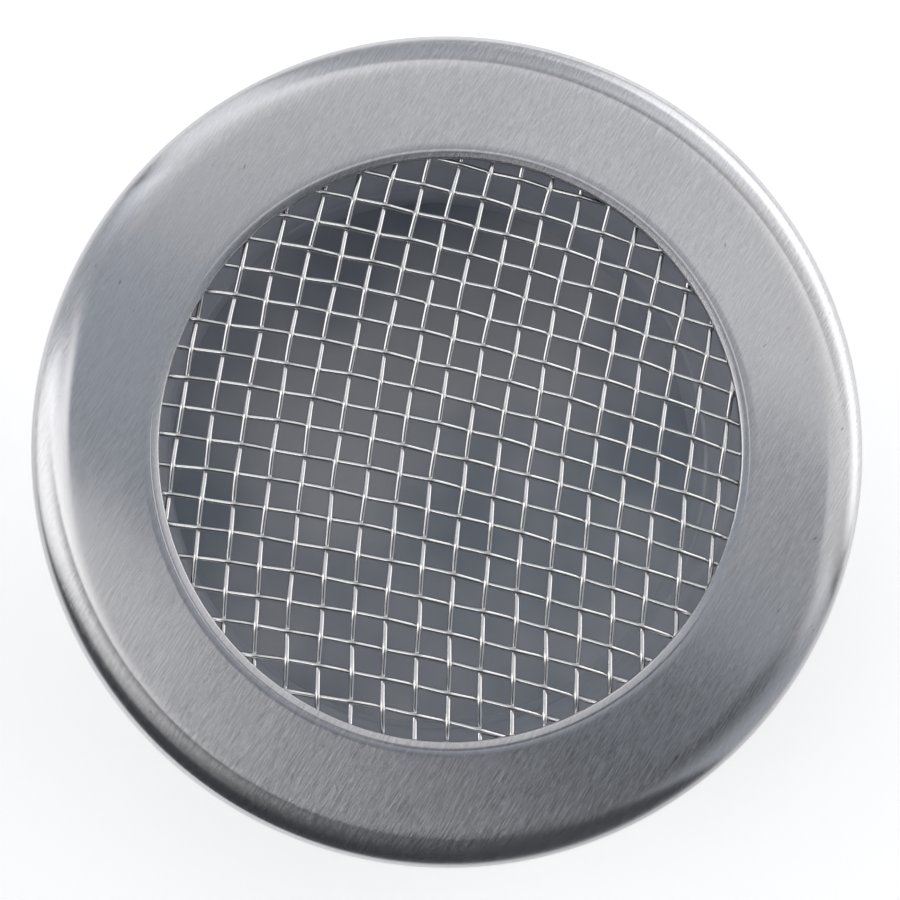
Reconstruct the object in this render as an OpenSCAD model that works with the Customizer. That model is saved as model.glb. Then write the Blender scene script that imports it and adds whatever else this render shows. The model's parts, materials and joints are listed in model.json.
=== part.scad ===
// Round ceiling vent: a pressed steel face ring over a woven wire screen, on a duct spigot
// with three sprung clips. It lies face up: +Z points out of the face. The origin is the
// centre of the ceiling plane, which is the back of the gasket. Everything is in millimetres.

/* [Face ring] */
// Outer diameter of the ring
face_od = 137; // [128:0.5:180]
// Diameter of the opening in the ring
opening_d = 95.4; // [70:0.5:104]
// Height of the face above the ceiling plane
face_h = 6; // [5.5:0.1:9]
// Thickness of the sheet that the ring and the spigot are pressed from
sheet_t = 0.8; // [0.5:0.1:1.2]
// Outer radius of the rolled rim
rim_r = 4.2; // [2:0.1:5]
// Outer radius of the lip turned in round the opening
lip_r = 1.3; // [1.25:0.05:2]
// Gap between the rim's edge and the ceiling plane
rim_lift = 0.4; // [0:0.1:1]

/* [Wire screen] */
// Diameter of the wires
wire_d = 0.9; // [0.6:0.05:1.1]
// Distance between warp wires, measured across the screen
warp_pitch = 5.3; // [4.4:0.05:8]
// Distance between weft wires, measured up the screen
weft_pitch = 4.85; // [4.4:0.05:8]
// Lean of the warp wires from the Y axis, in degrees
warp_lean = 7.7; // [0:0.1:15]
// Lean of the weft wires from the X axis, in degrees
weft_lean = 13.3; // [0:0.1:15]
// How far a warp wire has bowed at the bow's span from the middle
warp_bow = 3.2; // [0:0.1:5]
// How far a weft wire has bowed at the bow's span from the middle
weft_bow = 2.9; // [0:0.1:5]
// Distance from the screen's middle at which the two bows are measured
bow_span = 48; // [30:1:60]
// Place of the middle warp wire along X
warp_start = -2.7; // [-3:0.1:3]
// Place of the middle weft wire along Y
weft_start = -1.2; // [-3:0.1:3]
// Width of the screen's border that is clamped under the ring
screen_border = 4.6; // [3:0.1:6]

/* [Duct spigot] */
// Outer diameter of the spigot
duct_od = 98; // [80:0.5:110]
// Length of the spigot below the ceiling plane
duct_len = 52; // [48:0.5:90]
// Inside radius of the bend from the tube out to the collar
flare_r = 1.2; // [0.5:0.1:2]
// Width of the collar's flange that is spot-welded to the ring
weld_flange = 5; // [3:0.5:8]
// Distance of the duct stop bead below the ceiling plane
bead_drop = 34; // [33:0.5:40]
// Height of the bead above the tube
bead_h = 1.2; // [0.6:0.1:2]

/* [Gasket] */
// Width of the foam ring
gasket_w = 3.8; // [2:0.1:6]

/* [Spring clips] */
// Number of clips
clips = 3; // [2:1:4]
// Direction of the first clip from the X axis, in degrees
first_clip = 105; // [0:1:120]
// Distance of the hinge outside the spigot
hinge_out = 5; // [4.5:0.1:7]
// Distance of the hinge below the ceiling plane
hinge_drop = 21; // [20.5:0.1:26]
// Angle of a resting arm above the horizontal
rest_angle = 45; // [40:1:50]
// Length of the arm and its pad from the hinge
arm_reach = 20.5; // [16:0.1:21]
// Width of the arm
arm_w = 9.4; // [8:0.1:12]
// Thickness of the arm's sheet
arm_t = 0.8; // [0.6:0.1:1]
// Thickness of the bracket's sheet
bracket_t = 1; // [0.8:0.1:1.5]
// Diameter of the hinge pin
pin_d = 2.5; // [2:0.1:3]
// Wire diameter of the torsion spring
spring_wire = 0.7; // [0.5:0.05:0.9]
// Full turns of the torsion spring
spring_turns = 4; // [2:1:5]
// Length of the rubber pad on the arm
pad_len = 9; // [6:0.5:11]
// Wall of the rubber pad
pad_wall = 0.8; // [0.5:0.1:1.5]

/* [Clearances] */
// Gap between a wire and what it lies on
seat_gap = 0.05; // [0.02:0.01:0.2]
// Gap between crossing wires
weave_gap = 0.02; // [0.01:0.01:0.1]
// Gap round the screen's cut edge
edge_gap = 0.5; // [0.3:0.1:2]
// Gap between the gasket and the collar
gasket_gap = 0.5; // [0.2:0.1:2]
// Radial running clearance of the arm on its pin
run_gap = 0.05; // [0.02:0.01:0.1]
// Radial clearance of the pin in the bracket's ears, which its heads hold still
pin_gap = 0.02; // [0.01:0.01:0.05]
// Side clearance between the arm and the bracket's ears
side_gap = 0.3; // [0.1:0.05:0.5]
// Gap between the torsion spring and what it presses on
spring_gap = 0.1; // [0.05:0.05:0.3]
// Gap between a resting arm's heel and the bracket, which is its stop
stop_gap = 0.1; // [0.05:0.05:0.3]
// Gap between the spigot and a bracket welded to it
weld_gap = 0.05; // [0.02:0.01:0.1]

/* [Hidden] */
clip_ids = [for (k = [1:clips]) k];
$fn = 96;
over = 1;                                            // how far a cut runs past what it cuts

// Heights, from the face down
face_r = face_od / 2;
opening_r = opening_d / 2;
plate_under = face_h - sheet_t;
lip_under = face_h - lip_r;
weave_h = (wire_d + weave_gap) / 2;                  // height of a wire's crest above the weave's middle
weave_half = weave_h + wire_d / 2;
screen_z = lip_under - seat_gap - weave_half;
collar_top = screen_z - weave_half - seat_gap;
collar_under = collar_top - sheet_t;

// Radii of the spigot and its collar
duct_r = duct_od / 2;
screen_r = max(opening_r, duct_r) + screen_border;
step_r = screen_r + edge_gap;                        // inside of the joggle round the screen's edge
weld_r = step_r + sheet_t + weld_flange;
gasket_inner_r = weld_r + gasket_gap;
gasket_outer_r = min(gasket_inner_r + gasket_w, face_r - rim_r);
bead_half = 2 * bead_h;                              // half the bead's width along the tube
bead_steps = 16;                                     // straight steps that its wave is drawn in

// Clip, in a frame with X out from the spigot, Y along the pin and Z up
hinge_r = duct_r + hinge_out;
base_r = duct_r + weld_gap;
seat_r = base_r + bracket_t;                         // face of the bracket's base
base_half = 8;                                       // height of the base above and below the hinge
ear_w = 5.8;                                         // width of an ear, round its hole
ear_inner = arm_w / 2 + side_gap;
ear_outer = ear_inner + bracket_t;
coil_gap = 0.4;                                      // between the pin and the relaxed coil
spring_r = pin_d / 2 + coil_gap + spring_wire / 2;   // centre line of the coil
coil_half = spring_turns * (spring_wire + 0.15) / 2; // half the coil's length along the pin
leg_len = 10;                                        // straight leg under the arm
fixed_leg = 6.5;                                     // leg down the bracket's base
plate_n = spring_r + spring_wire / 2 + spring_gap;   // underside of the arm's plate above the pin
plate_top = plate_n + arm_t;
knuckle_r = pin_d / 2 + 1.1;
heel = (hinge_r - seat_r - stop_gap - plate_top * sin(rest_angle)) / cos(rest_angle);
arm_len = arm_reach - pad_wall;
pin_head_t = 0.8;
pin_head_d = pin_d + 1.6;
pin_tail_t = 0.5;
pin_tail_d = pin_d + 0.8;
coil_steps = 12;                                     // rings in a turn of the spring
facets = 6;                                          // sides of a wire's cross-section

// ---- shared shapes ----

// Quarter of a bent sheet's section, for a bend that starts level and turns down outwards
module bend(outer, t) {
    intersection() {
        difference() {
            circle(r = outer);
            circle(r = outer - t);
        }
        square(outer + over);
    }
}

function unit(v) = v / norm(v);
function tangent(p, k) = unit(p[min(k + 1, len(p) - 1)] - p[max(k - 1, 0)]);

// Round wire swept along points p, with its facets squared to the direction up
module sweep(p, d, up) {
    n = len(p);
    rings = [for (k = [0:n - 1]) let (
        t = tangent(p, k),
        side = unit(cross(t, up)),
        rise = cross(side, t)
    ) for (s = [0:facets - 1]) let (a = 360 * s / facets)
        p[k] + d / 2 * (cos(a) * side + sin(a) * rise)];
    walls = [for (k = [0:n - 2], s = [0:facets - 1]) let (
        a = k * facets + s,
        b = k * facets + (s + 1) % facets
    ) [a, b, b + facets, a + facets]];
    start = [[for (s = [facets - 1:-1:0]) s]];
    end = [[for (s = [0:facets - 1]) (n - 1) * facets + s]];
    polyhedron(points = rings, faces = concat(start, walls, end), convexity = 10);
}

// ---- face ring ----

module face_section() {
    translate([opening_r + lip_r, plate_under])
        square([face_r - rim_r - opening_r - lip_r, sheet_t]);
    translate([face_r - rim_r, face_h - rim_r])
        bend(rim_r, sheet_t);
    translate([face_r - sheet_t, rim_lift])
        square([sheet_t, face_h - rim_r - rim_lift]);
    translate([opening_r + lip_r, face_h - lip_r])
        mirror([1, 0])
            bend(lip_r, sheet_t);
}

module face_ring() {
    color("silver")
        rotate_extrude()
            face_section();
}

// ---- wire screen ----

function warp_x(i, y) = warp_start + i * warp_pitch + y * tan(warp_lean) + warp_bow * pow(y / bow_span, 2);
function weft_y(j, x) = weft_start + j * weft_pitch - x * tan(weft_lean) - weft_bow * pow(x / bow_span, 2);

// Where warp wire i crosses weft wire j, found by stepping from one curve to the other
function crossing(i, j, steps = 6, x = 0) =
    let (y = weft_y(j, x))
    steps == 0 ? [x, y] : crossing(i, j, steps - 1, warp_x(i, y));

function held(p) = norm(p) < screen_r - 0.3 * wire_d;
function crest(i, j) = (i + j) % 2 == 0 ? weave_h : -weave_h;

// Share of the way from a point inside the screen's cut edge to the next one, where the edge is
function edge_share(p, q) =
    let (
        d = q - p,
        a = d * d,
        b = p * d,
        c = p * p - screen_r * screen_r
    )
    (sqrt(b * b - a * c) - b) / a;

// Cut end of a wire, past its last held crossing p on the way to q, with their crests
function cut_end(p, q, p_crest, q_crest) =
    let (
        share = edge_share(p, q),
        flat = p + (q - p) * share
    )
    [flat.x, flat.y, screen_z + p_crest + (q_crest - p_crest) * min(share, 1)];

// Path of one wire: its held crossings, over and under in turn, and its two cut ends
function wire_path(line, crests) =
    let (
        inside = [for (k = [0:len(line) - 1]) if (held(line[k])) k],
        a = inside[0],
        b = inside[len(inside) - 1]
    )
    concat(
        [cut_end(line[a], line[a - 1], crests[a], crests[a - 1])],
        [for (k = inside) [line[k].x, line[k].y, screen_z + crests[k]]],
        [cut_end(line[b], line[b + 1], crests[b], crests[b + 1])]
    );

reach = ceil(1.4 * screen_r / min(warp_pitch, weft_pitch)); // wires to look at on each side of the middle

span = [-reach:reach];

// A wire that fewer crossings hold would fall out of the weave
least_crossings = 5;
function is_held(line) = len([for (p = line) if (held(p)) p]) >= least_crossings;

module mesh_warp_wires() {
    color("gainsboro")
        for (i = span) {
            line = [for (j = span) crossing(i, j)];
            if (is_held(line))
                sweep(wire_path(line, [for (j = span) crest(i, j)]), wire_d, [0, 0, 1]);
        }
}

module mesh_weft_wires() {
    color("lightgray")
        for (j = span) {
            line = [for (i = span) crossing(i, j)];
            if (is_held(line))
                sweep(wire_path(line, [for (i = span) -crest(i, j)]), wire_d, [0, 0, 1]);
        }
}

// ---- spigot ----

// Height of the bead at z above its middle: a smooth wave that dies out at its two feet
function bead_rise(z) = bead_h * (1 + cos(180 * z / bead_half)) / 2;

// Wall of the bead, which is rolled out of the tube and stops a duct pushed over its end
module bead_section() {
    z = [for (s = [0:bead_steps]) bead_half * (2 * s / bead_steps - 1)];
    outside = [for (h = z) [bead_rise(h) + sheet_t, h]];
    inside = [for (h = z) [bead_rise(h), -h]];
    polygon(concat(outside, inside));
}

module sleeve_section() {
    inner = duct_r - sheet_t;
    // end that the duct is pushed over
    translate([inner, -duct_len])
        square([sheet_t, duct_len - bead_drop - bead_half]);
    translate([inner, -bead_drop])
        bead_section();
    // tube above the bead
    translate([inner, bead_half - bead_drop])
        square([sheet_t, bead_drop - bead_half + collar_under - flare_r]);
    // bend out to the collar
    translate([duct_r + flare_r, collar_under - flare_r])
        mirror([1, 0])
            bend(flare_r + sheet_t, sheet_t);
    // collar under the screen's border
    translate([duct_r + flare_r, collar_under])
        square([step_r + sheet_t - duct_r - flare_r, sheet_t]);
    // joggle up to the back of the ring
    translate([step_r, collar_top])
        square([sheet_t, plate_under - collar_top]);
    // flange that is welded to the ring
    translate([step_r + sheet_t, plate_under - sheet_t])
        square([weld_flange, sheet_t]);
}

module spigot_sleeve() {
    color("darkgray")
        rotate_extrude()
            sleeve_section();
}

// ---- gasket ----

module ceiling_gasket() {
    color("dimgray")
        rotate_extrude()
            translate([gasket_inner_r, 0])
                square([gasket_outer_r - gasket_inner_r, plate_under]);
}

// ---- spring clips ----

module at_clip(k) {
    rotate([0, 0, first_clip + 360 * (k - 1) / clips])
        children();
}

module at_hinge() {
    translate([hinge_r, 0, -hinge_drop])
        children();
}

module at_arm() {
    at_hinge()
        rotate([0, -rest_angle, 0])
            children();
}

// Plate drawn in X and Z, with its thickness along Y from y up
module upright(y, t) {
    translate([0, y + t, 0])
        rotate([90, 0, 0])
            linear_extrude(t)
                children();
}

module ear_section() {
    difference() {
        union() {
            circle(d = ear_w);
            translate([base_r + bracket_t / 2 - hinge_r, -ear_w / 2])
                square([hinge_r - base_r - bracket_t / 2, ear_w]);
        }
        circle(r = pin_d / 2 + pin_gap);
    }
}

module clip_bracket(k) {
    spread = 2 * asin(ear_outer / base_r);
    color("lightslategray")
        at_clip(k) {
            translate([0, 0, -hinge_drop - base_half])
                rotate([0, 0, -spread / 2])
                    rotate_extrude(angle = spread)
                        translate([base_r, 0])
                            square([bracket_t, 2 * base_half]);
            at_hinge()
                for (y = [ear_inner, -ear_outer])
                    upright(y, bracket_t)
                        ear_section();
        }
}

module clip_pin(k) {
    color("whitesmoke")
        at_clip(k)
            at_hinge()
                rotate([90, 0, 0]) {
                    translate([0, 0, -ear_outer - pin_tail_t])
                        cylinder(d = pin_d, h = 2 * ear_outer + pin_tail_t + pin_head_t);
                    translate([0, 0, ear_outer + pin_gap])
                        cylinder(d = pin_head_d, h = pin_head_t);
                    translate([0, 0, -ear_outer - pin_gap - pin_tail_t])
                        cylinder(d = pin_tail_d, h = pin_tail_t);
                }
}

module knuckle_section() {
    difference() {
        union() {
            circle(r = knuckle_r);
            translate([-knuckle_r, 0])
                square([2 * knuckle_r, plate_n + arm_t / 2]);
        }
        circle(r = pin_d / 2 + run_gap);
    }
}

module clip_arm(k) {
    color("lightsteelblue")
        at_clip(k)
            at_arm() {
                translate([-heel, -arm_w / 2, plate_n])
                    cube([heel + arm_len, arm_w, arm_t]);
                for (y = [-arm_w / 2, arm_w / 2 - arm_t])
                    upright(y, arm_t)
                        knuckle_section();
            }
}

// Bar along the arm round its plate, larger than the plate by grow on every side
module round_plate(from, to, grow) {
    translate([from, -arm_w / 2 - grow, plate_n - grow])
        cube([to - from, arm_w + 2 * grow, arm_t + 2 * grow]);
}

module clip_pad(k) {
    color("darkslategray")
        at_clip(k)
            at_arm()
                difference() {
                    round_plate(arm_reach - pad_len, arm_reach, pad_wall);
                    round_plate(arm_reach - pad_len - over, arm_len + pin_gap, pin_gap);
                }
}

coil_turn = 360 * spring_turns + 90 - rest_angle;    // whole turn of the coil, from leg to leg

// Point of the coil's centre line after a turn of a degrees from the side next to the spigot
function coil_point(a) = [
    spring_r * cos(180 - a),
    coil_half * (2 * a / coil_turn - 1),
    spring_r * sin(180 - a)
];

module clip_spring(k) {
    steps = ceil(coil_steps * coil_turn / 360);
    fixed_end = [seat_r + spring_gap + spring_wire / 2 - hinge_r, -coil_half, -fixed_leg];
    free_end = coil_point(coil_turn) + leg_len * [cos(rest_angle), 0, sin(rest_angle)];
    path = concat([fixed_end], [for (s = [0:steps]) coil_point(coil_turn * s / steps)], [free_end]);
    color("slategray")
        at_clip(k)
            at_hinge()
                sweep(path, spring_wire, [0, 1, 0]);
}

face_ring();
mesh_warp_wires();
mesh_weft_wires();
spigot_sleeve();
ceiling_gasket();
for (k = clip_ids) {
    clip_bracket(k);
    clip_pin(k);
    clip_arm(k);
    clip_spring(k);
    clip_pad(k);
}
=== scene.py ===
"""Round ceiling vent: brushed face ring, woven screen, duct spigot and three sprung clips."""
import json
import math

import bmesh
import bpy
from bpy.props import FloatProperty, FloatVectorProperty, IntProperty, PointerProperty
from mathutils import Matrix, Vector


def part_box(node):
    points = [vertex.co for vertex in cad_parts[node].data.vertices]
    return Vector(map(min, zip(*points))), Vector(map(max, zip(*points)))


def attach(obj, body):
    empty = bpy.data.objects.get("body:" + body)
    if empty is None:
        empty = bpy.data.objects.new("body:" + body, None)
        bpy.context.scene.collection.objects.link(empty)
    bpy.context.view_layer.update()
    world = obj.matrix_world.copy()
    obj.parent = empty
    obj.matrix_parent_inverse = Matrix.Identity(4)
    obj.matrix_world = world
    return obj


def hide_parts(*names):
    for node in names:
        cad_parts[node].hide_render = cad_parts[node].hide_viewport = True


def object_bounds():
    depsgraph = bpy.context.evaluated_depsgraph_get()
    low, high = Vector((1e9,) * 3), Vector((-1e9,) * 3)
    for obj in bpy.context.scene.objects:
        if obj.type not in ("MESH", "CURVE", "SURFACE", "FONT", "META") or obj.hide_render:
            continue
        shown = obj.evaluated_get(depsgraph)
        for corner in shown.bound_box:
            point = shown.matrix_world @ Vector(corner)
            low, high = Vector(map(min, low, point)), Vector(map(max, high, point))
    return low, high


bl_info = {
    "name": "Ceiling vent",
    "version": (1, 0, 0),
    "blender": (4, 5, 0),
    "location": "View3D > Sidebar > Vent",
    "description": "Makes the finished pieces of a round ceiling vent around its packed solids",
    "category": "Add Mesh",
}

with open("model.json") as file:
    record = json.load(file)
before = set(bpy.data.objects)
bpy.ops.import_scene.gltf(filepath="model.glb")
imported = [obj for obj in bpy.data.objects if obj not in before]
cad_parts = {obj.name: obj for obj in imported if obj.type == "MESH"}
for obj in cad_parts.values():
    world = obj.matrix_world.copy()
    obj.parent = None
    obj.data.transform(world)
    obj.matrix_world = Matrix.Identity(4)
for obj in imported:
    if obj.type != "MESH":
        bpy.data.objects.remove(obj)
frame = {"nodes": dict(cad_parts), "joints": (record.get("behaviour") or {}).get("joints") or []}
CAD_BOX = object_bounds()
RING_LOW, RING_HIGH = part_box("face_ring")
SLEEVE_LOW, SLEEVE_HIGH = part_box("spigot_sleeve")
SCREEN_LOW, SCREEN_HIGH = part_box("mesh_warp_wires")
GASKET_LOW, GASKET_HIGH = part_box("ceiling_gasket")
HINGES = [Vector(joint["pos_m"]) for joint in frame["joints"]]
TAU = 2 * math.pi

# Small fixed sizes, in metres
GASKET_SLACK = 0.0005       # between the gasket's bore and the spigot's collar
GASKET_ROUND = 0.0005       # rounding of the gasket's edges
PAD_RIB_SINK = 0.00005      # how deep the middle of a pad's rib lies in the pad
FLOOR_REACH = 8.0           # from the vent to the edge of the floor
CARD_RISE = 0.0005          # from the floor to the card in the spigot's end
CEILING = 1.2               # from the vent's ceiling plane to the panels overhead


def length(name, description, default):
    """A property that holds a length in metres."""
    return FloatProperty(name=name, description=description, default=default,
                         unit="LENGTH", subtype="DISTANCE", precision=5)


def angle(name, description, degrees):
    """A property that holds an angle, given here in degrees."""
    return FloatProperty(name=name, description=description, default=math.radians(degrees),
                         unit="ROTATION", subtype="ANGLE")


def share(name, description, default):
    """A property that holds a share from 0 to 1."""
    return FloatProperty(name=name, description=description, default=default,
                         min=0, max=1, subtype="FACTOR")


def colour(name, description, default):
    """A property that holds a linear colour."""
    return FloatVectorProperty(name=name, description=description, default=default,
                               size=3, min=0, max=1, subtype="COLOR")


class VentRingSizes(bpy.types.PropertyGroup):
    """Sizes of the pressed face ring."""
    sheet: length("Sheet", "Thickness of the pressed sheet", 0.0008)
    opening: length("Opening radius", "Radius of the opening inside the lip", 0.0477)
    lip: length("Lip radius", "Outside radius of the lip rolled in at the opening", 0.0013)
    hem: length("Hem radius", "Radius of the tight turn at the lip's edge", 0.0003)
    lip_slope: share("Lip slope", "How far the lip drops before its edge, as a share of its width", 0.12)
    crease: length("Crease", "Half the width of the press line round the lip", 0.00014)
    rim: length("Rim depth", "Depth over which the face rolls down to the rim", 0.0034)
    roll: length("Roll", "Width over which the face rolls down to the rim", 0.0066)
    grain: angle("Brush direction", "Direction of the brushed lines from the X axis", 58.5)


class VentScreenSizes(bpy.types.PropertyGroup):
    """Sizes of the woven wire screen."""
    wire: length("Wire", "Diameter of the wires", 0.0009)
    play: length("Play", "Gap between two wires where they cross", 0.00002)
    warp_pitch: length("Warp pitch", "Distance between warp wires", 0.0053)
    weft_pitch: length("Weft pitch", "Distance between weft wires", 0.00485)
    warp_lean: angle("Warp lean", "Lean of the warp wires from the Y axis", 7.7)
    weft_lean: angle("Weft lean", "Lean of the weft wires from the X axis", 13.3)
    warp_bow: length("Warp bow", "Drift of a warp wire at the bow's span", 0.0032)
    weft_bow: length("Weft bow", "Drift of a weft wire at the bow's span", 0.0029)
    bow_span: length("Bow span", "Distance from the middle at which bows are measured", 0.048)
    warp_start: length("Warp start", "Place of the middle warp wire along X", -0.0027)
    weft_start: length("Weft start", "Place of the middle weft wire along Y", -0.0012)
    crimp: share("Crimp", "How tightly a wire bends at its crossings", 0.965)
    wobble: length("Wobble", "How far a wire strays sideways from its line", 0.00008)


class VentSleeveSizes(bpy.types.PropertyGroup):
    """Sizes of the duct spigot."""
    sheet: length("Sheet", "Thickness of the rolled sheet", 0.0008)
    tube: length("Tube radius", "Outside radius of the tube", 0.049)
    flare: length("Flare", "Inside radius of the bend out to the collar", 0.0012)
    collar: length("Collar radius", "Inside radius of the joggle round the screen", 0.0541)
    joggle: length("Joggle bends", "Inside radius of the joggle's two bends", 0.0004)
    collar_z: length("Collar height", "Height of the collar's seat for the screen", 0.00278)
    bead_z: length("Bead height", "Place of the duct stop bead along the axis", -0.034)
    bead_half: length("Bead half width", "Half the width of the bead along the axis", 0.0024)
    bead: length("Bead", "How far the bead stands out of the tube", 0.0012)
    seam: length("Seam", "Height of the weld seam down the tube", 0.00012)
    seam_place: angle("Seam place", "Where the weld seam stands round the tube", 285)
    seam_spread: angle("Seam spread", "Half the width of the weld seam as seen from the axis", 0.6)


class VentClipSizes(bpy.types.PropertyGroup):
    """Sizes of the three sprung clips."""
    edge: length("Edge round", "Radius of the rounded edges of the pressed parts", 0.00012)
    back: length("Bracket face", "Distance of the bracket's outer face from the tube", 0.00105)
    rest: angle("Rest angle", "Angle of a resting arm above the horizontal", 45)
    plate: length("Plate distance", "Distance of the arm's outer face from the pin's axis", 0.00325)
    arm_width: length("Arm width", "Width of the arm across the pin", 0.0094)
    arm_reach: length("Arm reach", "Distance from the pin to the tip of the pad", 0.0205)
    pad_length: length("Pad length", "Length of the rubber pad along the arm", 0.009)
    pad_wall: length("Pad wall", "Thickness of the rubber round the arm", 0.0008)
    rib_width: length("Rib width", "Width of the stiffening rib pressed in the arm", 0.0026)
    rib_height: length("Rib height", "Height of the stiffening rib", 0.0004)
    coil: length("Coil radius", "Radius of the spring's coil at the middle of its wire", 0.002)
    coil_half: length("Coil half length", "Half the length of the coil along the pin", 0.0017)
    wire: length("Spring wire", "Diameter of the spring wire", 0.0007)
    turns: IntProperty(name="Spring turns", description="Whole turns of the coil", default=4, min=2, max=6)
    travel: angle("Travel", "How far an arm turns from rest until it lies along the spigot", 135)
    settle: angle("Settle", "Turn over which the coil's last part goes flat", 80)
    spare: angle("Spare", "How far before the arm's travel the coil is flat", 15)
    lap: angle("Lap", "How far the end turn reaches back past the arm's travel", 8)
    free_leg: length("Free leg", "Length of the spring's leg under the arm", 0.010)
    fixed_leg: length("Fixed leg", "Length of the spring's leg down the bracket", 0.0065)
    leg_gap: length("Leg gap", "Gap between the fixed leg and the bracket", 0.0001)
    weld: length("Weld radius", "Radius of a spot weld's mark", 0.0013)


class VentFinish(bpy.types.PropertyGroup):
    """Colours and gloss of the vent's materials."""
    face: colour("Face steel", "Colour of the brushed stainless face", (0.61, 0.61, 0.625))
    face_gloss: share("Face roughness", "Roughness of the brushed face", 0.21)
    wire: colour("Wire steel", "Colour of the drawn screen wire", (0.80, 0.80, 0.80))
    tube: colour("Tube steel", "Colour of the rolled spigot sheet", (0.74, 0.76, 0.80))
    pressed: colour("Pressed steel", "Colour of the pressed clip parts", (0.55, 0.56, 0.58))
    spring: colour("Spring steel", "Colour of the drawn spring wire", (0.42, 0.43, 0.45))
    rubber: colour("Rubber", "Colour of the rubber pads", (0.022, 0.022, 0.024))
    foam: colour("Foam", "Colour of the sealing foam", (0.045, 0.045, 0.05))


class VentStudio(bpy.types.PropertyGroup):
    """Camera and lights of the studio."""
    distance: length("Camera distance", "Distance from the camera to the vent", 0.4218)
    tilt: angle("Camera tilt", "Angle of the camera off the vent's axis", 4.4)
    turn: angle("Camera side", "Side to which the camera is tilted", 214)
    lens: FloatProperty(name="Lens", description="Focal length in millimetres", default=101.9)
    room: colour("Room", "Light that the dim studio gives from all sides", (0.055, 0.06, 0.068))
    floor: colour("Floor", "Colour of the studio floor", (0.93, 0.93, 0.93))
    glow: share("Floor glow", "Light given off by the floor itself", 0.48)


def look(group):
    """One of the property groups of the scene."""
    return getattr(bpy.context.scene, group)


# ---- meshes ----

def make_mesh(name, verts, faces, uv=None, sharp=40):
    """A smooth-shaded object from points and faces, with edges sharp above an angle in degrees."""
    mesh = bpy.data.meshes.new(name)
    mesh.from_pydata(verts, [], faces)
    if uv:
        layer = mesh.uv_layers.new(name="grain")
        for loop in mesh.loops:
            layer.data[loop.index].uv = uv[loop.vertex_index]
    mesh.shade_smooth()
    mesh.set_sharp_from_angle(angle=math.radians(sharp))
    mesh.validate()
    thing = bpy.data.objects.new(name, mesh)
    bpy.context.scene.collection.objects.link(thing)
    return thing


def arc(centre, radius, start, end, steps):
    """Points on an arc in the radius-height plane, with angles in degrees."""
    points = []
    for k in range(steps + 1):
        a = math.radians(start + (end - start) * k / steps)
        points.append((centre[0] + radius * math.cos(a), centre[1] + radius * math.sin(a)))
    return points


def straight(start, end, steps):
    """Points along a line, without its first one."""
    return [(start[0] + (end[0] - start[0]) * k / steps, start[1] + (end[1] - start[1]) * k / steps)
            for k in range(1, steps + 1)]


def offset(path, distance):
    """The path moved sideways to its right by a distance, with mitred corners."""
    moved = []
    for k, point in enumerate(path):
        before = Vector(path[max(k - 1, 0)])
        after = Vector(path[min(k + 1, len(path) - 1)])
        here = Vector(point)
        first = (here - before).normalized() if k else (after - here).normalized()
        last = (after - here).normalized() if k < len(path) - 1 else first
        normals = [Vector((d.y, -d.x)) for d in (first, last)]
        middle = (normals[0] + normals[1]).normalized()
        reach = distance / max(middle.dot(normals[0]), 0.3)
        moved.append(tuple(here + middle * reach))
    return moved


def roll(centre, wide, deep, steps):
    """Points of a sheet that rolls from level to upright round a centre, slowly at first."""
    turns = [math.pi / 2 * k / steps for k in range(steps + 1)]
    return [(centre[0] + wide * math.sin(a), centre[1] + deep * math.cos(a)) for a in turns]


def distances(points):
    """How far each point lies along the line of points."""
    along = [0.0]
    for p, q in zip(points, points[1:]):
        along.append(along[-1] + (Vector(q) - Vector(p)).length)
    return along


def sheet_section(path, back, edge_steps=4):
    """Closed section of a sheet from its show side and its back, with rounded ends,
    and how far along its side each point lies."""
    ends = []
    for a, b in ((path[-1], back[-1]), (back[0], path[0])):
        centre = (Vector(a) + Vector(b)) / 2
        arm = Vector(a) - centre
        ends.append([tuple(centre + Matrix.Rotation(-math.pi * k / edge_steps, 2) @ arm)
                     for k in range(1, edge_steps)])
    front, rear = distances(path), distances(back)
    section = path + ends[0] + back[::-1] + ends[1]
    return section, front + [front[-1]] * len(ends[0]) + rear[::-1] + [0.0] * len(ends[1])


def turn_section(name, section, places, steps, grain=None, first_radius=0.0, swell=None):
    """The section turned round the Z axis. Its UVs lie flat as the blank was cut, turned to the grain,
    or if grain is None run along the section and round the axis. Swell gives how far the surface
    stands out at an angle."""
    verts, uv = [], []
    count = len(section)
    for k in range(steps):
        a = TAU * k / steps
        for (radius, height), place in zip(section, places):
            grown = radius + (swell(a) if swell else 0)
            verts.append((grown * math.cos(a), grown * math.sin(a), height))
            if grain is None:
                uv.append((place, a * first_radius))
            else:
                blank = first_radius + place
                uv.append((blank * math.sin(a - grain), blank * math.cos(a - grain)))
    faces = []
    for k in range(steps):
        here, there = k * count, (k + 1) % steps * count
        for m in range(count):
            n = (m + 1) % count
            faces.append((here + m, there + m, there + n, here + n))
    return make_mesh(name, verts, faces, uv)


def sweep(path, radius, sides, verts, faces, uv=None, up=Vector((0, 0, 1))):
    """Adds a round wire along a path to lists of points and faces, with flat ends.
    Its UVs run along the wire and round it."""
    start = len(verts)
    along = 0.0
    for k, point in enumerate(path):
        before, after = path[max(k - 1, 0)], path[min(k + 1, len(path) - 1)]
        heading = (after - before).normalized()
        side = heading.cross(up).normalized()
        top = side.cross(heading)
        along += (point - before).length if k else 0
        for m in range(sides):
            a = TAU * m / sides
            verts.append(point + radius * (math.cos(a) * side + math.sin(a) * top))
            if uv is not None:
                uv.append((along, radius * a))
    for k in range(len(path) - 1):
        here = start + k * sides
        for m in range(sides):
            n = (m + 1) % sides
            faces.append((here + m, here + n, here + sides + n, here + sides + m))
    faces.append(tuple(start + m for m in reversed(range(sides))))
    last = start + (len(path) - 1) * sides
    faces.append(tuple(last + m for m in range(sides)))


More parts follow.
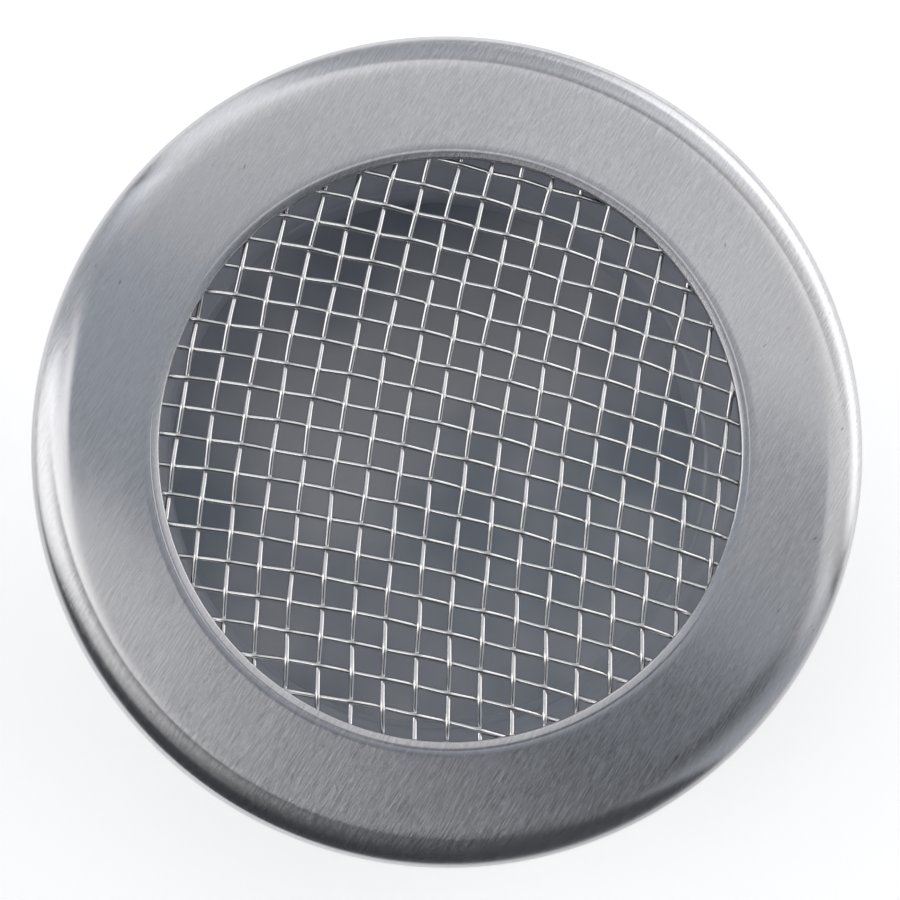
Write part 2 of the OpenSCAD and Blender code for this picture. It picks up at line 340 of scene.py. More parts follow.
def softened(node, width):
    """Points and faces of a copy of a CAD node's solid, with its sharp edges rounded."""
    solid = bmesh.new()
    solid.from_mesh(frame["nodes"][node].data)
    bmesh.ops.remove_doubles(solid, verts=solid.verts, dist=width / 50)
    bmesh.ops.dissolve_limit(solid, angle_limit=math.radians(1), verts=solid.verts, edges=solid.edges)
    edges = [e for e in solid.edges if len(e.link_faces) == 2 and e.calc_face_angle() > math.radians(30)]
    bmesh.ops.bevel(solid, geom=edges, offset=width, segments=2, profile=0.5, affect="EDGES",
                    clamp_overlap=True)
    solid.verts.index_update()
    verts = [v.co.copy() for v in solid.verts]
    faces = [tuple(v.index for v in f.verts) for f in solid.faces]
    solid.free()
    return verts, faces


def dome(place, outward, radius, height, verts, faces, longer=None, rings=5, sides=20):
    """Adds a shallow dome on a surface to lists of points and faces. A vector stretches it both ways."""
    start = len(verts)
    side = outward.orthogonal().normalized() if longer is None else longer.normalized()
    across = outward.cross(side)
    for ring in range(1, rings + 1):
        out = ring / rings
        rise = height * (1 + math.cos(math.pi * out)) / 2 - height / 20
        for m in range(sides):
            a = TAU * m / sides
            spot = place + radius * out * (math.cos(a) * side + math.sin(a) * across) + outward * rise
            if longer is not None:
                spot += longer * (1 if math.cos(a) > 0 else -1)
            verts.append(spot)
    faces.append(tuple(start + m for m in range(sides)))
    for ring in range(rings - 1):
        for m in range(sides):
            n = (m + 1) % sides
            here = start + ring * sides
            faces.append((here + m, here + sides + m, here + sides + n, here + n))


def dress(thing, body, slot, material, *nodes):
    """Gives a finished piece its material and body, and puts it in the place of its CAD nodes. Its slot is
    not used.
    """
    thing.data.materials.clear()
    thing.data.materials.append(material)
    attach(thing, body)
    if nodes:
        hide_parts(*nodes)


# ---- material nodes ----

class Nodes:
    """Short ways to add nodes to a material's tree."""

    def __init__(self, name):
        self.material = bpy.data.materials.new(name)
        self.material.use_nodes = True
        self.tree = self.material.node_tree
        self.shader = self.tree.nodes["Principled BSDF"]

    def add(self, kind, **settings):
        """A new node with its settings."""
        node = self.tree.nodes.new(kind)
        for key, value in settings.items():
            setattr(node, key, value)
        return node

    def join(self, output, socket):
        """A link from an output to an input."""
        self.tree.links.new(output, socket)

    def place(self, source, stretch):
        """Texture coordinates stretched along each axis."""
        mapping = self.add("ShaderNodeMapping")
        mapping.inputs["Scale"].default_value = stretch
        self.join(source, mapping.inputs["Vector"])
        return mapping.outputs["Vector"]

    def noise(self, vector, scale, detail=2.0, rough=0.5):
        """A noise value over the given coordinates."""
        node = self.add("ShaderNodeTexNoise")
        self.join(vector, node.inputs["Vector"])
        node.inputs["Scale"].default_value = scale
        node.inputs["Detail"].default_value = detail
        node.inputs["Roughness"].default_value = rough
        return node.outputs["Fac"]

    def spread(self, value, low, high, start=0.0, end=1.0):
        """The value moved from one range to another and held inside it."""
        node = self.add("ShaderNodeMapRange")
        self.join(value, node.inputs["Value"])
        node.inputs["From Min"].default_value = start
        node.inputs["From Max"].default_value = end
        node.inputs["To Min"].default_value = low
        node.inputs["To Max"].default_value = high
        return node.outputs["Result"]

    def blend(self, value, low, high):
        """A colour between two, by a value. The first can come from another node."""
        node = self.add("ShaderNodeMix", data_type="RGBA")
        self.join(value, node.inputs["Factor"])
        if isinstance(low, bpy.types.NodeSocket):
            self.join(low, node.inputs["A"])
        else:
            node.inputs["A"].default_value = (*low, 1)
        node.inputs["B"].default_value = (*high, 1)
        return node.outputs["Result"]

    def math(self, operation, first, second):
        """The result of an operation on two values or numbers."""
        node = self.add("ShaderNodeMath", operation=operation)
        for socket, value in zip(node.inputs, (first, second)):
            if isinstance(value, (int, float)):
                socket.default_value = value
            else:
                self.join(value, socket)
        return node.outputs["Value"]

    def bump(self, height, depth):
        """A bump of a depth in metres."""
        node = self.add("ShaderNodeBump")
        node.inputs["Distance"].default_value = depth
        self.join(height, node.inputs["Height"])
        return node.outputs["Normal"]

    def finish(self, colour=None, rough=None, normal=None, **sockets):
        """Sets the shader's inputs and gives the material."""
        for name, output in (("Base Color", colour), ("Roughness", rough), ("Normal", normal)):
            if output is not None:
                self.join(output, self.shader.inputs[name])
        for name, value in sockets.items():
            self.shader.inputs[name.replace("_", " ")].default_value = value
        return self.material


def shade(colour, factor):
    """A colour made lighter or darker."""
    return tuple(min(channel * factor, 1.0) for channel in colour)


def brushed_face():
    """Stainless sheet of the face ring, brushed in straight lines, with a few dark nicks."""
    finish = look("vent_finish")
    n = Nodes("brushed_face")
    blank = n.add("ShaderNodeUVMap", uv_map="grain").outputs["UV"]
    fine = n.noise(n.place(blank, (1, 0.12, 1)), 7000, 3.0, 0.65)
    lines = n.noise(n.place(blank, (1, 0.06, 1)), 3800, 2.0, 0.6)
    drift = n.noise(n.place(blank, (1, 0.3, 1)), 60, 2.0, 0.5)
    grain = n.math("ADD", n.math("MULTIPLY", fine, 0.55), n.math("MULTIPLY", lines, 0.45))
    tint = n.math("ADD", n.math("MULTIPLY", grain, 0.8), n.math("MULTIPLY", drift, 0.2))
    brushed = n.blend(n.spread(tint, 0, 1, 0.4, 0.6), shade(finish.face, 0.88), shade(finish.face, 1.1))
    nicks = n.noise(n.place(blank, (1, 0.4, 1)), 1100, 1.0, 0.4)
    tone = n.blend(n.spread(nicks, 0, 1, 0.76, 0.81), brushed, shade(finish.face, 0.65))
    gloss = n.spread(grain, finish.face_gloss * 0.75, finish.face_gloss * 1.3, 0.3, 0.7)
    tangent = n.add("ShaderNodeTangent", direction_type="UV_MAP", uv_map="grain").outputs["Tangent"]
    n.join(tangent, n.shader.inputs["Tangent"])
    return n.finish(tone, gloss, n.bump(grain, 0.000002), Metallic=1.0, Anisotropic=1.0)


def screen_wire():
    """Bright drawn wire with faint lines along it."""
    finish = look("vent_finish")
    n = Nodes("screen_wire")
    run = n.add("ShaderNodeUVMap", uv_map="grain").outputs["UV"]
    lines = n.noise(n.place(run, (0.05, 1, 1)), 7000, 2.0, 0.5)
    patches = n.noise(n.place(run, (0.4, 1, 1)), 900, 3.0, 0.6)
    mix = n.math("ADD", n.math("MULTIPLY", lines, 0.6), n.math("MULTIPLY", patches, 0.4))
    tone = n.blend(n.spread(mix, 0, 1, 0.3, 0.7), shade(finish.wire, 0.84), shade(finish.wire, 1.1))
    gloss = n.spread(mix, 0.14, 0.24, 0.3, 0.7)
    return n.finish(tone, gloss, n.bump(mix, 0.000003), Metallic=1.0)


def rolled_sheet():
    """Bright rolled stainless sheet of the spigot, with its grain round the tube."""
    finish = look("vent_finish")
    n = Nodes("rolled_sheet")
    blank = n.add("ShaderNodeUVMap", uv_map="grain").outputs["UV"]
    lines = n.noise(n.place(blank, (1, 0.02, 1)), 3000, 3.0, 0.55)
    cloud = n.noise(n.place(blank, (1, 1, 1)), 70, 3.0, 0.6)
    mix = n.math("ADD", n.math("MULTIPLY", lines, 0.55), n.math("MULTIPLY", cloud, 0.45))
    tone = n.blend(n.spread(mix, 0, 1, 0.3, 0.7), shade(finish.tube, 0.86), shade(finish.tube, 1.08))
    gloss = n.spread(mix, 0.44, 0.6, 0.3, 0.7)
    tangent = n.add("ShaderNodeTangent", direction_type="UV_MAP", uv_map="grain").outputs["Tangent"]
    n.join(tangent, n.shader.inputs["Tangent"])
    return n.finish(tone, gloss, n.bump(mix, 0.000008), Metallic=1.0, Anisotropic=0.6)


def pressed_steel():
    """Stainless sheet of the clips, with fine rolled grain and faint stains."""
    finish = look("vent_finish")
    n = Nodes("pressed_steel")
    spot = n.add("ShaderNodeTexCoord").outputs["Object"]
    lines = n.noise(n.place(spot, (1, 1, 0.08)), 5200, 3.0, 0.6)
    cloud = n.noise(spot, 320, 3.0, 0.6)
    mix = n.math("ADD", n.math("MULTIPLY", lines, 0.5), n.math("MULTIPLY", cloud, 0.5))
    tone = n.blend(n.spread(mix, 0, 1, 0.3, 0.7), shade(finish.pressed, 0.78), shade(finish.pressed, 1.08))
    gloss = n.spread(mix, 0.24, 0.42, 0.3, 0.7)
    return n.finish(tone, gloss, n.bump(lines, 0.000012), Metallic=1.0)


def pin_steel():
    """Turned bright steel of the pins."""
    finish = look("vent_finish")
    n = Nodes("pin_steel")
    spot = n.add("ShaderNodeTexCoord").outputs["Object"]
    marks = n.noise(spot, 6500, 2.0, 0.6)
    cloud = n.noise(spot, 900, 2.0)
    mix = n.math("ADD", n.math("MULTIPLY", marks, 0.5), n.math("MULTIPLY", cloud, 0.5))
    tone = n.blend(n.spread(mix, 0, 1, 0.3, 0.7), shade(finish.wire, 0.9), shade(finish.wire, 1.15))
    return n.finish(tone, n.spread(mix, 0.16, 0.3, 0.3, 0.7), n.bump(marks, 0.000008), Metallic=1.0)


def spring_wire():
    """Drawn spring wire, darker than the sheet parts."""
    finish = look("vent_finish")
    n = Nodes("spring_wire")
    run = n.add("ShaderNodeUVMap", uv_map="grain").outputs["UV"]
    lines = n.noise(n.place(run, (0.06, 1, 1)), 8000, 2.0, 0.6)
    cloud = n.noise(run, 600, 3.0)
    mix = n.math("ADD", n.math("MULTIPLY", lines, 0.6), n.math("MULTIPLY", cloud, 0.4))
    tone = n.blend(n.spread(mix, 0, 1, 0.3, 0.7), shade(finish.spring, 0.75), shade(finish.spring, 1.15))
    return n.finish(tone, n.spread(mix, 0.2, 0.36, 0.3, 0.7), n.bump(lines, 0.00001), Metallic=1.0)


def pad_rubber():
    """Matt black rubber, a little dusty and finely pitted."""
    finish = look("vent_finish")
    n = Nodes("pad_rubber")
    spot = n.add("ShaderNodeTexCoord").outputs["Object"]
    pits = n.noise(spot, 7000, 3.0, 0.7)
    dust = n.noise(spot, 420, 4.0, 0.65)
    tone = n.blend(n.spread(dust, 0, 1, 0.45, 0.75), finish.rubber, shade(finish.rubber, 2.6))
    return n.finish(tone, n.spread(dust, 0.55, 0.75, 0.3, 0.7), n.bump(pits, 0.00002))


def sealing_foam():
    """Dark closed-cell foam with small pores."""
    finish = look("vent_finish")
    n = Nodes("sealing_foam")
    spot = n.add("ShaderNodeTexCoord").outputs["Object"]
    pores = n.add("ShaderNodeTexVoronoi")
    n.join(spot, pores.inputs["Vector"])
    pores.inputs["Scale"].default_value = 2600
    mottle = n.noise(spot, 900, 3.0)
    height = n.math("MULTIPLY", pores.outputs["Distance"], mottle)
    tone = n.blend(mottle, shade(finish.foam, 0.7), shade(finish.foam, 1.5))
    return n.finish(tone, n.spread(mottle, 0.8, 0.95), n.bump(height, 0.00012))


def pale_floor():
    """Plain pale studio floor."""
    studio = look("vent_studio")
    n = Nodes("pale_floor")
    spot = n.add("ShaderNodeTexCoord").outputs["Object"]
    cloud = n.noise(spot, 6, 2.0)
    tone = n.blend(cloud, shade(studio.floor, 0.985), studio.floor)
    return n.finish(tone, n.spread(cloud, 0.75, 0.85), Specular_IOR_Level=0.2, Emission_Color=(1, 1, 1, 1),
                    Emission_Strength=studio.glow)


def painted_shade_card():
    """Dark grey card that paints the shade inside the duct behind the screen, mottled with painted patches
    of light.
    """
    n = Nodes("painted_shade_card")
    spot = n.add("ShaderNodeTexCoord").outputs["Object"]
    cloud = n.noise(spot, 26, 3.0, 0.5)
    # Painted shade: bluish dark grey, with lighter painted patches of reflected light.
    tone = n.blend(n.spread(cloud, 0, 1, 0.38, 0.62), (0.35, 0.39, 0.445), (0.62, 0.63, 0.65))
    return n.finish(tone, n.spread(cloud, 0.6, 0.8))


# ---- pieces ----

class VENT_OT_face_ring(bpy.types.Operator):
    """Press the brushed face ring from one round blank"""
    bl_idname = "vent.face_ring"
    bl_label = "Face ring"

    def execute(self, context):
        s = context.scene.vent_ring
        top, low, outer = RING_HIGH.z, RING_LOW.z + s.sheet / 2, RING_HIGH.x
        hem, shoulder = s.opening + s.hem, s.opening + s.lip
        drop = s.lip * s.lip_slope
        crown = 8 * s.hem
        press = s.crease / 6
        path = [(s.opening, top - s.lip)]
        path += arc((hem, top - drop - s.hem), s.hem, 180, 95, 6)
        path += arc((shoulder, top - crown), crown, 96, 90, 5)
        path += [(shoulder + s.crease, top - press), (shoulder + 2 * s.crease, top)]
        path += straight((shoulder + 2 * s.crease, top), (outer - s.roll, top), 12)
        path += roll((outer - s.roll, top - s.rim), s.roll, s.rim, 28)[1:]
        path += straight((outer, top - s.rim), (outer, low), 3)
        bend = s.lip - s.sheet
        back = arc((shoulder, top - s.lip), bend, 180, 90, 5)
        back += straight((shoulder, top - s.sheet), (outer - s.roll, top - s.sheet), 12)
        back += roll((outer - s.roll, top - s.rim), s.roll - s.sheet, s.rim - s.sheet, 28)[1:]
        back += straight((outer - s.sheet, top - s.rim), (outer - s.sheet, low), 3)
        section, places = sheet_section(path, back)
        ring = turn_section("face_ring_sheet", section, places, 360, s.grain, s.opening)
        dress(ring, "vent", "brushed_face", brushed_face(), "face_ring")
        return {"FINISHED"}


class Weave:
    """The lines that the screen's two families of wires follow."""

    def __init__(self, s):
        self.s = s
        self.middle = (SCREEN_LOW.z + SCREEN_HIGH.z) / 2
        self.crest = (s.wire + s.play) / 2
        self.edge = max(SCREEN_HIGH.x, -SCREEN_LOW.x)

    def warp_x(self, i, y):
        """Where a warp wire lies along X, at a place along Y."""
        s = self.s
        line = s.warp_start + i * s.warp_pitch + y * math.tan(s.warp_lean)
        return line + s.warp_bow * (y / s.bow_span) ** 2

    def weft_y(self, j, x):
        """Where a weft wire lies along Y, at a place along X."""
        s = self.s
        line = s.weft_start + j * s.weft_pitch - x * math.tan(s.weft_lean)
        return line - s.weft_bow * (x / s.bow_span) ** 2

    def warp_number(self, x, y):
        """Which warp wire lies at a point, as a number with a fraction."""
        return (x - self.warp_x(0, y)) / self.s.warp_pitch

    def weft_number(self, x, y):
        """Which weft wire lies at a point, as a number with a fraction."""
        return (y - self.weft_y(0, x)) / self.s.weft_pitch

    def stray(self, wire, along, seed):
        """How far a wire strays sideways at a place along it."""
        t = along / self.s.warp_pitch
        slow, quick = math.sin(0.9 * t + 2.3 * wire + seed), math.sin(2.1 * t + 4.1 * wire)
        return self.s.wobble * (slow + 0.7 * quick)

    def crimp(self, number):
        """Height of a wire over its crossings, as a zigzag with rounded tops."""
        tight = self.s.crimp
        return self.crest * math.asin(tight * math.cos(math.pi * number)) / math.asin(tight)

    def point(self, family, wire, along):
        """A point of a wire's centre line, a distance along Y for a warp and along X for a weft."""
        drift = self.stray(wire, along, 0 if family == "warp" else 5)
        if family == "warp":
            x, y = self.warp_x(wire, along), along
            return Vector((x + drift, y, self.middle + self.crimp(wire + self.weft_number(x, y))))
        x, y = along, self.weft_y(wire, along)
        return Vector((x, y + drift, self.middle - self.crimp(wire + self.warp_number(x, y))))

    def paths(self, family, crossings=5, margin=0.3, rings=9, most=16):
        """Centre lines of all the wires of a family that enough wires of the other hold."""
        s = self.s
        number = self.weft_number if family == "warp" else self.warp_number
        pitch = s.weft_pitch if family == "warp" else s.warp_pitch
        step = pitch / rings
        reach = math.ceil(self.edge / step)
        for wire in range(-most, most + 1):
            line = [self.point(family, wire, k * step) for k in range(-reach, reach + 1)]
            line = [p for p in line if p.xy.length < self.edge]
            held = [number(p.x, p.y) for p in line if p.xy.length < self.edge - margin * s.wire]
            if held and abs(math.floor(max(held)) - math.ceil(min(held))) + 1 >= crossings:
                yield line


class VENT_OT_screen(bpy.types.Operator):
    """Weave the screen from its warp and weft wires"""
    bl_idname = "vent.screen"
    bl_label = "Woven screen"

    def execute(self, context):
        weave = Weave(context.scene.vent_screen)
        steel = screen_wire()
        for family in ("warp", "weft"):
            verts, faces, uv = [], [], []
            for line in weave.paths(family):
                sweep(line, weave.s.wire / 2, 12, verts, faces, uv)
            wires = make_mesh(f"screen_{family}_wires", verts, faces, uv, 60)
            dress(wires, "vent", "screen_wire", steel, f"mesh_{family}_wires")
        return {"FINISHED"}


class VENT_OT_spigot_sleeve(bpy.types.Operator):
    """Roll and flare the duct spigot"""
    bl_idname = "vent.spigot_sleeve"
    bl_label = "Spigot sleeve"

    def execute(self, context):
        s = context.scene.vent_sleeve
        bore, low, top = s.tube - s.sheet, SLEEVE_LOW.z + s.sheet / 2, SLEEVE_HIGH.z
        path = [(bore, low)] + straight((bore, low), (bore, s.bead_z - s.bead_half), 10)
        half_steps = 8
        for k in range(1, 2 * half_steps + 1):
            z = s.bead_half * (k / half_steps - 1)
            path.append((bore + s.bead * (1 + math.cos(math.pi * z / s.bead_half)) / 2, s.bead_z + z))
        path += straight((bore, s.bead_z + s.bead_half), (bore, s.collar_z - s.flare), 16)
        path += arc((bore + s.flare, s.collar_z - s.flare), s.flare, 180, 90, 8)[1:]
        bend = s.joggle
        path += straight((bore + s.flare, s.collar_z), (s.collar - bend, s.collar_z), 4)
        path += arc((s.collar - bend, s.collar_z + bend), bend, 270, 360, 4)[1:]
        path += arc((s.collar + bend, top - bend), bend, 180, 90, 4)
        path += straight((s.collar + bend, top), (SLEEVE_HIGH.x, top), 5)
        section, places = sheet_section(path, offset(path, s.sheet))

        def weld(a):
            """How far the weld seam stands out at an angle round the tube."""
            return s.seam * math.exp(-((a - s.seam_place) / s.seam_spread) ** 2)

        sleeve = turn_section("spigot_sheet", section, places, 360, None, s.tube, weld)
        dress(sleeve, "vent", "rolled_sheet", rolled_sheet(), "spigot_sleeve")
        return {"FINISHED"}


class VENT_OT_gasket(bpy.types.Operator):
    """Cut the foam ring that seals against the ceiling"""
    bl_idname = "vent.gasket"
    bl_label = "Ceiling gasket"

    def execute(self, context):
        low, high = GASKET_LOW.z, GASKET_HIGH.z
        inner = SLEEVE_HIGH.x + GASKET_SLACK
        outer, r = GASKET_HIGH.x, GASKET_ROUND
        section = arc((outer - r, high - r), r, 90, 0, 4) + arc((outer - r, low + r), r, 0, -90, 4)
        section += arc((inner + r, low + r), r, 270, 180, 4) + arc((inner + r, high - r), r, 180, 90, 4)
        gasket = turn_section("gasket_ring", section, [0.0] * len(section), 240, None, outer)
        dress(gasket, "vent", "foam", sealing_foam(), "ceiling_gasket")
        return {"FINISHED"}


class Clip:
    """One clip's own directions: out from the spigot, along the pin and up, and along and over its arm."""

    def __init__(self, number):
        self.hinge = HINGES[number - 1]
        self.out = Vector((self.hinge.x, self.hinge.y, 0)).normalized()
        self.up = Vector((0, 0, 1))
        self.pin = self.up.cross(self.out)
        rest = look("vent_clip").rest
        self.along = math.cos(rest) * self.out + math.sin(rest) * self.up
        self.over = math.cos(rest) * self.up - math.sin(rest) * self.out

    def at_hinge(self, out, pin, up):
        """A point given from the pin's middle, on the bracket."""
        return self.hinge + out * self.out + pin * self.pin + up * self.up

    def on_arm(self, along, pin, over):
        """A point given from the pin's middle, on the resting arm."""
        return self.hinge + along * self.along + pin * self.pin + over * self.over


class VENT_OT_brackets(bpy.types.Operator):
    """Press the brackets and weld them to the spigot"""
    bl_idname = "vent.brackets"
    bl_label = "Clip brackets"

    def execute(self, context):
        s = context.scene.vent_clip
        steel = pressed_steel()
        for number in range(1, len(HINGES) + 1):
            clip = Clip(number)
            node = f"clip_bracket_{number}"
            low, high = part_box(node)
            verts, faces = softened(node, s.edge)
            face = context.scene.vent_sleeve.tube + s.back - clip.hinge.xy.length
            for up in (low.z - clip.hinge.z + 2 * s.weld, high.z - clip.hinge.z - 2 * s.weld):
                dome(clip.at_hinge(face, 0, up), clip.out, s.weld, s.weld / 12, verts, faces)
            bracket = make_mesh(f"bracket_{number}", verts, faces, None, 30)
            dress(bracket, "vent", "pressed_steel", steel, node)
        return {"FINISHED"}


class VENT_OT_pins(bpy.types.Operator):
    """Turn the hinge pins and rivet their tails"""
    bl_idname = "vent.pins"
    bl_label = "Hinge pins"

    def execute(self, context):
        steel = pin_steel()
        for number in range(1, len(HINGES) + 1):
            node = f"clip_pin_{number}"
            verts, faces = softened(node, 1.6 * context.scene.vent_clip.edge)
            pin = make_mesh(f"pin_{number}", verts, faces, None, 30)
            dress(pin, "vent", "pin_steel", steel, node)
        return {"FINISHED"}


class VENT_OT_arms(bpy.types.Operator):
    """Press the clip arms with their stiffening ribs"""
    bl_idname = "vent.arms"
    bl_label = "Clip arms"

    def execute(self, context):
        s = context.scene.vent_clip
        steel = pressed_steel()
        for number in range(1, len(HINGES) + 1):
            clip = Clip(number)
            node = f"clip_arm_{number}"
            verts, faces = softened(node, s.edge)
            end = s.arm_reach - s.pad_length - s.rib_width
            middle = clip.on_arm(end / 2, 0, s.plate)
            dome(middle, clip.over, s.rib_width / 2, s.rib_height, verts, faces,
                 clip.along * (end / 2 - s.rib_width / 4), 6, 28)
            arm = make_mesh(f"arm_{number}", verts, faces, None, 30)
            dress(arm, f"arm_{number}", "pressed_steel", steel, node)
        return {"FINISHED"}


class VENT_OT_pads(bpy.types.Operator):
    """Mould the ribbed rubber pads on the arms' ends"""
    bl_idname = "vent.pads"
    bl_label = "Rubber pads"

    def execute(self, context):
        s = context.scene.vent_clip
        rubber = pad_rubber()
        ribs = 5
        rib_radius = 0.35 * s.pad_wall
        thick = s.plate + s.pad_wall - PAD_RIB_SINK
        for number in range(1, len(HINGES) + 1):
            clip = Clip(number)
            node = f"clip_pad_{number}"
            verts, faces = softened(node, 2 * s.edge)
            reach = s.arm_width / 2 - s.pad_wall
            for k in range(ribs):
                along = s.arm_reach - s.pad_length * (k + 1) / (ribs + 1)
                line = [clip.on_arm(along, reach * (m / 6 - 1), thick) for m in range(13)]
                sweep(line, rib_radius, 12, verts, faces, None, clip.over)
            pad = make_mesh(f"pad_{number}", verts, faces, None, 40)
            dress(pad, f"arm_{number}", "pad_rubber", rubber, node)
        return {"FINISHED"}


class VENT_OT_springs(bpy.types.Operator):
    """Wind the torsion springs, each as its coil and the end turn that goes with the arm"""
    bl_idname = "vent.springs"
    bl_label = "Torsion springs"

    def coil_point(self, clip, turned, whole):
        """A point of the coil's centre line. The coil's end lies flat, so that the end turn can slide
        round on it with the arm."""
        s = look("vent_clip")
        flat = whole - s.travel - s.spare
        lift = min(max((turned - flat + s.settle) / s.settle, 0), 1)
        along = s.coil_half * (2 * min(turned, flat) / flat - 1) + s.wire / 2 * lift * lift * (3 - 2 * lift)
        a = math.pi - turned
        return clip.at_hinge(s.coil * math.cos(a), along, s.coil * math.sin(a))

    def execute(self, context):
        s = context.scene.vent_clip
        wire = spring_wire()
        whole = TAU * s.turns + math.pi / 2 - s.rest
        step = math.radians(12)
        base = context.scene.vent_sleeve.tube + s.back + s.leg_gap + s.wire / 2
        for number in range(1, len(HINGES) + 1):
            clip = Clip(number)
            steps = round(whole / step)
            coil = [self.coil_point(clip, whole * k / steps, whole) for k in range(steps)]
            foot = clip.at_hinge(base - clip.hinge.xy.length, -s.coil_half, -s.fixed_leg)
            leg = [foot.lerp(coil[0], k / 6) for k in range(6)]
            body = self.wire_piece(f"spring_coil_{number}", leg + coil, clip, 0.99)
            dress(body, "vent", "spring_wire", wire, f"clip_spring_{number}")
            arc_start = whole - s.travel - s.lap
            count = math.ceil((whole - arc_start) / step)
            turn = [self.coil_point(clip, arc_start + (whole - arc_start) * k / count, whole)
                    for k in range(count + 1)]
            free = [turn[-1] + clip.along * s.free_leg * k / 6 for k in range(1, 7)]
            end = self.wire_piece(f"spring_leg_{number}", turn + free, clip, 1.0)
            dress(end, f"arm_{number}", "spring_wire", wire, f"clip_spring_{number}")
        return {"FINISHED"}

    def wire_piece(self, name, path, clip, thickness):
        """A round spring wire along the path, its thickness given as a share of the whole."""
        verts, faces, uv = [], [], []
        sweep(path, look("vent_clip").wire / 2 * thickness, 12, verts, faces, uv, clip.pin)
        return make_mesh(name, verts, faces, uv, 60)


# ---- studio ----

def lamp(name, place, turn, width, height, radiance, tint):
    """A rectangular lamp at a place, of a given brightness."""
    light = bpy.data.lights.new(name, "AREA")
    light.shape = "RECTANGLE"
    light.size, light.size_y = width, height
    light.energy = math.pi * width * height * radiance
    light.color = tint
    thing = bpy.data.objects.new(name, light)
    thing.location = place
    thing.rotation_euler = turn
    thing.visible_camera = False
    bpy.context.scene.collection.objects.link(thing)


def softbox(name, side, away, rise, width, height, radiance, tint):
    """A softbox at a side in degrees, that faces the vent from a distance and a height."""
    a = math.radians(side)
    place = Vector((away * math.cos(a), away * math.sin(a), rise))
    lamp(name, place, place.to_track_quat("Z", "Y").to_euler(), width, height, radiance, tint)


def ceiling_panel(name, along, across, radiance, tint):
    """A flat panel overhead, given by its reach along and across the brushed lines."""
    grain = look("vent_ring").grain
    line = Vector((math.cos(grain), math.sin(grain), 0))
    side = Vector((-line.y, line.x, 0))
    place = line * sum(along) / 2 + side * sum(across) / 2 + Vector((0, 0, CEILING))
    lamp(name, place, (0, 0, grain), along[1] - along[0], across[1] - across[0], radiance, tint)


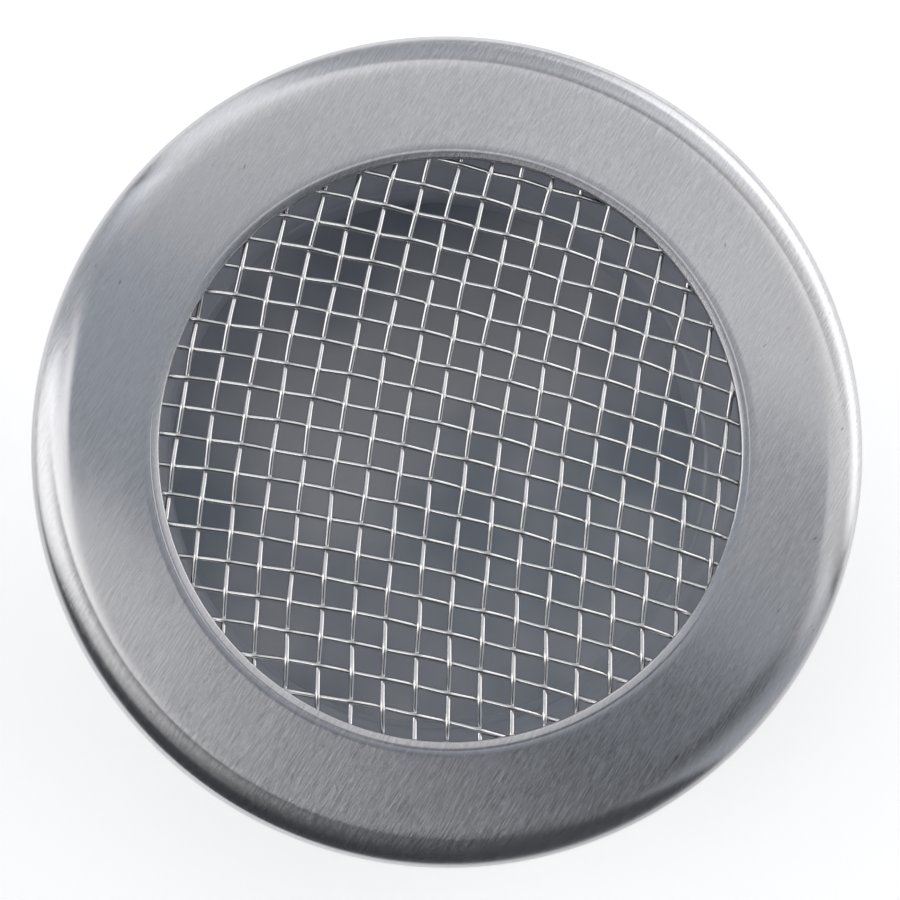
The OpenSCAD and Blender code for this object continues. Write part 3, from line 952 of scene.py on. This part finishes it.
class VENT_OT_stage(bpy.types.Operator):
    """Set the floor, the lights and the camera"""
    bl_idname = "vent.stage"
    bl_label = "Studio"

    def execute(self, context):
        s = context.scene.vent_studio
        self.floor()
        self.lights()
        camera = bpy.data.cameras.new("camera")
        camera.lens = s.lens
        camera.clip_start = 0.01
        eye = bpy.data.objects.new("camera", camera)
        direction = Vector((math.sin(s.tilt) * math.cos(s.turn), math.sin(s.tilt) * math.sin(s.turn),
                            math.cos(s.tilt)))
        right = Vector((0, 1, 0)).cross(direction).normalized()
        turn = Matrix((right, direction.cross(right), direction)).transposed().to_4x4()
        eye.matrix_world = Matrix.Translation(s.distance * direction) @ turn
        context.scene.collection.objects.link(eye)
        context.scene.camera = eye
        context.scene.view_settings.view_transform = "Standard"
        return {"FINISHED"}

    def floor(self):
        """The pale floor, and the dark card that closes the spigot's end just above it and paints the shade
        inside the spigot. The card's rim lies in the thickness of the spigot's wall."""
        level = CAD_BOX[0][2]
        side = FLOOR_REACH
        corners = [(-side, -side, level), (side, -side, level), (side, side, level), (-side, side, level)]
        ground = make_mesh("floor", corners, [(0, 1, 2, 3)])
        ground.data.materials.append(pale_floor())
        radius = look("vent_sleeve").tube - 0.9 * look("vent_sleeve").sheet
        sides = 96
        rim = [(radius * math.cos(TAU * k / sides), radius * math.sin(TAU * k / sides), level + CARD_RISE)
               for k in range(sides)]
        # Dark card: painted shade inside the spigot, seen through the screen.
        card = make_mesh("shade_card", rim, [tuple(range(sides))])
        card.data.materials.append(painted_shade_card())

    def lights(self):
        """Softboxes round the vent and seven panels overhead, in a dim room."""
        world = bpy.data.worlds.new("studio")
        world.use_nodes = True
        world.node_tree.nodes["Background"].inputs["Color"].default_value = (*look("vent_studio").room, 1)
        bpy.context.scene.world = world
        warm, cool, blue = (1, 0.985, 0.98), (0.9, 0.94, 1), (0.8, 0.88, 1)
        middle, left, right = (-0.144, 0.144), (0.144, 0.6), (-0.6, -0.144)
        softbox("left_box", 181, 0.83, 0.5, 0.46, 0.85, 1.65, warm)
        softbox("lower_left_box", 210, 0.56, 0.71, 0.26, 0.46, 0.62, warm)
        softbox("left_wall", 152, 0.78, 0.46, 0.5, 1.0, 0.5, cool)
        softbox("upper_left_box", 121, 0.78, 0.46, 0.32, 0.9, 0.72, warm)
        softbox("upper_wall", 92, 0.78, 0.46, 1.5, 1.0, 0.45, cool)
        softbox("right_box", 28, 0.88, 0.26, 1.3, 0.5, 1.25, warm)
        softbox("right_wall", 18, 0.76, 0.48, 1.0, 0.9, 0.74, warm)
        softbox("lower_right_box", -32, 0.8, 0.4, 0.46, 0.8, 0.44, cool)
        ceiling_panel("middle_panel", (-0.5, -0.018), middle, 0.1, blue)
        ceiling_panel("upper_panel", (-0.018, 0.7), middle, 0.39, cool)
        ceiling_panel("lower_left_panel", (-0.4, -0.066), (0.19, 0.6), 2.25, warm)
        ceiling_panel("left_panel", (-0.066, 0.102), left, 0.54, blue)
        ceiling_panel("upper_left_panel", (0.102, 0.7), left, 0.82, warm)
        ceiling_panel("right_panel", (0.06, 0.216), right, 0.4, cool)
        ceiling_panel("upper_right_panel", (0.216, 0.7), right, 1.05, warm)


PIECES = (VENT_OT_face_ring, VENT_OT_screen, VENT_OT_spigot_sleeve, VENT_OT_gasket, VENT_OT_brackets,
          VENT_OT_pins, VENT_OT_arms, VENT_OT_pads, VENT_OT_springs, VENT_OT_stage)


class VENT_PT_sidebar(bpy.types.Panel):
    """Lists the steps that make the vent"""
    bl_idname = "VENT_PT_sidebar"
    bl_label = "Ceiling vent"
    bl_space_type = "VIEW_3D"
    bl_region_type = "UI"
    bl_category = "Vent"

    def draw(self, context):
        for piece in PIECES:
            self.layout.operator(piece.bl_idname)


GROUPS = {
    "vent_clip": VentClipSizes,
    "vent_ring": VentRingSizes,
    "vent_screen": VentScreenSizes,
    "vent_sleeve": VentSleeveSizes,
    "vent_finish": VentFinish,
    "vent_studio": VentStudio,
}


def register():
    """Adds the property groups, the operators and the panel."""
    for name, group in GROUPS.items():
        bpy.utils.register_class(group)
        setattr(bpy.types.Scene, name, PointerProperty(type=group))
    for kind in PIECES + (VENT_PT_sidebar,):
        bpy.utils.register_class(kind)


def unregister():
    """Takes them away again."""
    for kind in reversed(PIECES + (VENT_PT_sidebar,)):
        bpy.utils.unregister_class(kind)
    for name, group in GROUPS.items():
        delattr(bpy.types.Scene, name)
        bpy.utils.unregister_class(group)


def main():
    """Makes every piece in turn."""
    register()
    for piece in PIECES:
        group, name = piece.bl_idname.split(".")
        getattr(getattr(bpy.ops, group), name)()


if __name__ == "__main__":
    main()
